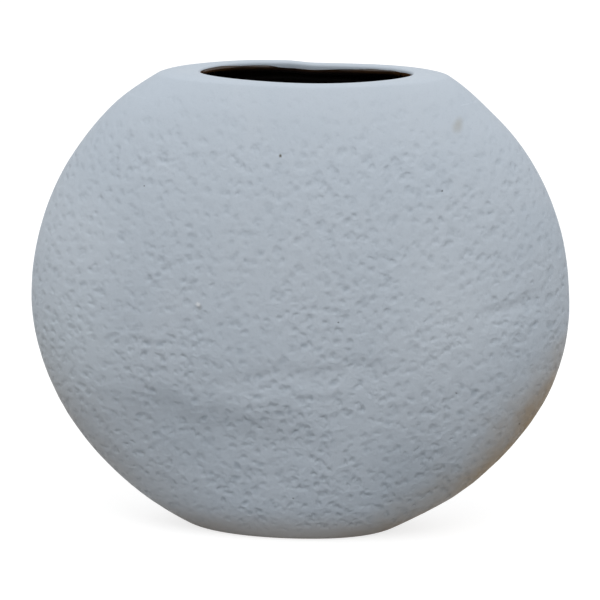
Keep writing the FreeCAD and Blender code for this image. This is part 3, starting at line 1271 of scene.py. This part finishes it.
@dataclass
class FootSlab(TurnedPiece):
    """The slab that closes the bottom, coated at its edge and bare underneath."""

    ring_width: float = 9.0 * MM
    recess: float = 2.0 * MM
    soft_edge: float = 0.4 * MM
    bare_top: float = 0.6 * MM
    recess_shares: tuple[float, ...] = (0.0, 0.35, 0.7, 0.96)
    top_shares: tuple[float, ...] = (0.6, 0.0)
    outer_steps: int = 8
    round_off_steps: int = 8

    def foot(self) -> Ring:
        """The ellipse that the foot stands on, inside its rounded edge."""
        return self.form.ring(0.0, 0.0, self.form.foot_round, self.form.foot_round)

    def rings(self) -> list[Ring]:
        """List the slab's profile, from the middle of the recess out, up and back over the top.

        Returns:
            The ellipses that its points run along.
        """
        form = self.form
        hollow = self.foot().grown(1.0, -self.ring_width)
        rings = [hollow.grown(share)._replace(height=self.recess) for share in self.recess_shares]
        rings += [hollow._replace(height=height) for height in (self.recess - self.soft_edge, self.soft_edge)]
        rings += [hollow.grown(1.0, out) for out in (self.soft_edge, self.ring_width / 2.0)]
        for rise, inset in reversed(quarter_turns(self.round_off_steps)):
            out = form.foot_round * inset
            rings.append(form.ring(form.foot_round * (1.0 - rise), 0.0, out, out))
        rings += form.outer_rings(form.foot_round, form.slab, self.outer_steps)[1:]
        return rings + [rings[-1].grown(share) for share in self.top_shares]

    def build(self) -> None:
        """Turn the slab and leave its underside bare."""
        rings = self.rings()
        mesh = self.turned(rings, closed=False)
        top = len(rings) - 1 - len(self.top_shares)
        lengths = climbs(rings[top - self.outer_steps : top + 1])
        below = {top - self.outer_steps + step: length - lengths[-1] for step, length in enumerate(lengths)}
        self.lay_skin(mesh, rings, below)
        bmesh.ops.remove_doubles(mesh, verts=mesh.verts, dist=self.weld)
        for face in mesh.faces:
            face.material_index = int(self._is_bare(face.calc_center_median()))
        self.finish(mesh, "foot_slab_clay", "foot_slab", "bare_clay")

    def _is_bare(self, middle: Vector) -> bool:
        """True for the middle of a face under the foot or in its recess."""
        inside = self.foot().reach(middle) < 1.0
        return middle.z < self.bare_top or (inside and middle.z < self.recess + 0.1 * MM)


@dataclass
class GlazeLining(TurnedPiece):
    """The coat of glaze inside, which ends in a wavy line under the lip."""

    thickness: float = 0.8 * MM
    line: float = 3.4 * MM
    wall_steps: int = 30
    throat_steps: int = 24
    throat_samples: int = 120
    waves: tuple[Triple, ...] = ((0.16 * MM, 9.0, 0.7), (0.08 * MM, 23.0, 0.0))
    far_rise: float = 1.15 * MM
    left_rise: float = 2.4 * MM
    right_rise: float = 1.5 * MM
    far_drop: float = 0.3 * MM
    far_hump: float = 0.9 * MM
    edge_thinning: float = 0.92
    thin_zone: Span = (5.5 * MM, 2.0 * MM)
    thin_ends: Span = (0.88, 0.99)
    thin_share: float = 0.45

    def line_height(self, turn: float) -> float:
        """Height of the glaze's edge, which runs up to the lip on the left of the far side.

        Args:
            turn: The ellipse's own angle.

        Returns:
            The height of the edge.
        """
        across, far = math.cos(turn), smooth_step(-0.2, 0.3, math.sin(turn))
        up = far * (1.0 - smooth_step(-0.4, -0.16, across))
        ends = self.left_rise * smooth_step(0.42, 0.86, -across)
        ends += self.right_rise * smooth_step(0.35, 0.85, across)
        hump = self.far_hump * far * (smooth_step(0.1, 0.35, across) - smooth_step(0.5, 0.8, across))
        drop = self.far_drop * (far - up) * (1.0 - smooth_step(0.0, 0.4, across))
        wave = sum(height * math.sin(count * turn + start) for height, count, start in self.waves)
        rise = max(up * self.far_rise, ends) + hump - drop + wave * (1.0 - 0.7 * up)
        return self.form.height - self.line + rise

    def build(self) -> None:
        """Turn the lining with its wavy edge, thin at the edge and thinnest at the mouth's two ends."""
        clay, glazed = [self._samples(glaze) for glaze in (0.0, self.thickness)]
        outside, inside = [self._profile(glaze) for glaze in (0.0, self.thickness)]
        rings = outside + inside[::-1]
        fixed = len(outside) - self.throat_steps

        def place(number: int, turn: float) -> Vector:
            """Lay a point of the profile on its ellipse, with the edge's wave worked in.

            Args:
                number: The number of its ellipse.
                turn: The ellipse's own angle.

            Returns:
                The point.
            """
            level = min(number, len(rings) - 1 - number)
            if level < fixed:
                return rings[number].at(turn)
            share = (level - fixed + 1) / self.throat_steps
            height = self.form.rim_level + share * (self.line_height(turn) - self.form.rim_level)
            outer = self._at_height(clay, height)
            if number < len(outside):
                return outer.at(turn)
            body = math.sqrt(1.0 - self.edge_thinning * smooth_step(0.75, 1.0, share))
            return outer.toward(self._at_height(glazed, height), body).at(turn)

        mesh = self.wheel.turned(rings, place, self.round_steps, closed=False)
        station = mesh.verts.layers.int["station"]
        thin = mesh.verts.layers.float.new("thin")
        low, high = [self.form.height - depth for depth in self.thin_zone]
        for vertex in mesh.verts:
            ends = smooth_step(*self.thin_ends, abs(vertex.co.x) / self.form.mouth[0])
            share = self.thin_share + (1.0 - self.thin_share) * ends
            inner = vertex[station] >= len(outside)
            vertex[thin] = smooth_step(low, high, vertex.co.z) * share if inner else 1.0
        bmesh.ops.remove_doubles(mesh, verts=mesh.verts, dist=self.weld)
        self.finish(mesh, "glaze_coat", "glaze_lining", "dark_glaze")

    def _samples(self, glaze: float) -> list[Ring]:
        """Many ellipses up the throat, inside a glaze of some thickness."""
        shares = [step / self.throat_samples for step in range(self.throat_samples + 1)]
        return [self.form.throat_ring(share, glaze) for share in shares]

    def _profile(self, glaze: float) -> list[Ring]:
        """List one side of the lining, from the middle of the floor up to the level line.

        Args:
            glaze: Thickness of the glaze on that side.

        Returns:
            The ellipses, of which those up the throat only hold a height.
        """
        wall = self.form.inner_rings(self.wall_steps, glaze)
        start, climb = self.form.rim_level, self.form.rim_height - self.line
        shares = [(step + 1) / self.throat_steps for step in range(self.throat_steps)]
        return [wall[0].grown(0.0)] + wall + [Ring(start + climb * share, 0.0, 0.0) for share in shares]

    def _at_height(self, rings: Sequence[Ring], height: float) -> Ring:
        """The throat's ellipse at a height, between two of its samples.

        Args:
            rings: The throat's samples from low to high.
            height: The height.

        Returns:
            The ellipse.
        """
        after = min(max(1, bisect_left(rings, height, key=lambda ring: ring.height)), len(rings) - 1)
        low, high = rings[after - 1], rings[after]
        share = min(1.0, max(0.0, (height - low.height) / (high.height - low.height)))
        return low.toward(high, share)._replace(height=height)


@dataclass(frozen=True)
class Viewpoint:
    """The photograph's viewpoint: square to the rear face and a little above it."""

    distance: float = 2.4
    elevation: float = math.radians(15.18)
    roll: float = math.radians(1.616)
    aim_height: float = 131.0 * MM
    sensor: float = 36.0
    lens: float = 257.99
    reach: float = 50.0

    def build(self) -> None:
        """Set the camera up and make it the scene's own."""
        data = bpy.data.cameras.new("camera")
        data.sensor_width = self.sensor
        data.lens = self.lens
        data.clip_end = self.reach
        camera = bpy.data.objects.new("camera", data)
        away = Vector((0.0, -math.cos(self.elevation), math.sin(self.elevation))) * self.distance
        turn = Matrix.Rotation(math.pi / 2 - self.elevation, 4, "X") @ Matrix.Rotation(self.roll, 4, "Z")
        camera.matrix_world = Matrix.Translation(away + Vector((0.0, 0.0, self.aim_height))) @ turn
        bpy.context.scene.collection.objects.link(camera)
        bpy.context.scene.camera = camera


class Lamp(NamedTuple):
    """A square soft light: its name, where it hangs, the length of its side and its power in watts."""

    name: str
    place: Triple
    size: float
    power: float


@dataclass(frozen=True)
class Studio:
    """The white room: a soft light overhead, a weak fill, and a floor that keeps a shadow."""

    lamps: tuple[Lamp, ...] = (
        Lamp("top_light", (0.0, -0.75, 1.5), 1.1, 8.5),
        Lamp("front_fill", (0.0, -2.2, 0.9), 1.6, 0.4),
    )
    aim: Triple = (0.0, 0.0, 0.13)
    sky: float = 0.81
    white: float = 1.0
    floor_glow: float = 0.75
    floor_shade: Colour = (0.4, 0.4, 0.4)
    cool_table: Colour = (0.42, 0.42, 0.42)
    side_table: Colour = (0.24, 0.21, 0.18)
    dim_from: Span = (0.09, 0.2)
    dim_to: Span = (0.22, 0.38)
    floor_size: float = 12.0
    floor_drop: float = 0.2 * MM

    def build(self) -> None:
        """Set up the lamps, the sky and the floor."""
        for lamp in self.lamps:
            self._hang(lamp)
        self._sky()
        self._floor()
        bpy.context.scene.view_settings.view_transform = "Standard"

    def _hang(self, lamp: Lamp) -> None:
        """Hang a lamp that points at the vase.

        Args:
            lamp: The lamp.
        """
        data = bpy.data.lights.new(lamp.name, "AREA")
        data.size = lamp.size
        data.energy = lamp.power
        hung = bpy.data.objects.new(lamp.name, data)
        way = Vector(self.aim) - Vector(lamp.place)
        hung.matrix_world = Matrix.Translation(lamp.place) @ way.to_track_quat("-Z", "Y").to_matrix().to_4x4()
        bpy.context.scene.collection.objects.link(hung)

    def _sky(self) -> None:
        """A soft sky that shows as white to the camera and in gloss."""
        recipe = Recipe(bpy.data.worlds.new("sky"))
        bpy.context.scene.world = recipe.owner
        strength = recipe.shown.ramp(0.0, 1.0, self.sky, self.white)
        recipe.fill(recipe.tree.nodes["Background"], {"Color": (1.0, 1.0, 1.0, 1.0), "Strength": strength})

    def _floor(self) -> None:
        """A table that looks white to the camera and throws a dim light back up."""
        mesh = bmesh.new()
        bmesh.ops.create_grid(mesh, x_segments=1, y_segments=1, size=self.floor_size / 2.0)
        bmesh.ops.translate(mesh, verts=mesh.verts, vec=(0.0, 0.0, -self.floor_drop))
        data = bpy.data.meshes.new("floor")
        mesh.to_mesh(data)
        mesh.free()
        floor = bpy.data.objects.new("floor", data)
        bpy.context.scene.collection.objects.link(floor)
        data.materials.append(self._floor_material())

    def _floor_material(self) -> Material:
        """Make the floor: white with a soft shadow to the camera, dim and dimmer to the sides for the rest.

        Returns:
            The material.
        """
        recipe = Recipe(bpy.data.materials.new("floor_white"))
        recipe.tree.nodes.remove(recipe.tree.nodes["Principled BSDF"])
        glow = recipe.value("Emission", {"Strength": self.floor_glow})
        white = recipe.value("BsdfDiffuse", {"Color": (*self.floor_shade, 1.0)})
        away = recipe.parts["X"].joined("ABSOLUTE")
        dim = away.ramp(*self.dim_from) - away.ramp(*self.dim_to)
        table = recipe.value("BsdfDiffuse", {"Color": recipe.blend(dim, self.cool_table, self.side_table)})
        seen = recipe.value("AddShader", {0: glow, 1: white})
        surface = recipe.value("MixShader", {0: recipe.shown, 1: table, 2: seen})
        recipe.fill(recipe.tree.nodes["Material Output"], {"Surface": surface})
        return recipe.owner


def main() -> None:
    """Build the vase piece by piece, then the studio and the camera."""
    logging.basicConfig(level=logging.INFO, format="%(name)s %(message)s")
    form = BodyForm.packed()
    wheel = OvalWheel(form)
    pits = PressedPits(form, wheel)
    pits.scatter()
    log.info("pits: %d", len(pits.pits))
    coat = MattCoat().material()
    shells = HalfShells(form, wheel, pits, [coat])
    shells.build(Half.REAR, "rear_shell")
    shells.build(Half.FRONT, "front_shell")
    MouthRim(form, wheel, pits, [coat]).build()
    FootSlab(form, wheel, pits, [coat, BareClay().material()]).build()
    GlazeLining(form, wheel, pits, [DarkGlaze().material()]).build()
    Studio().build()
    Viewpoint().build()


if __name__ == "__main__":
    main()
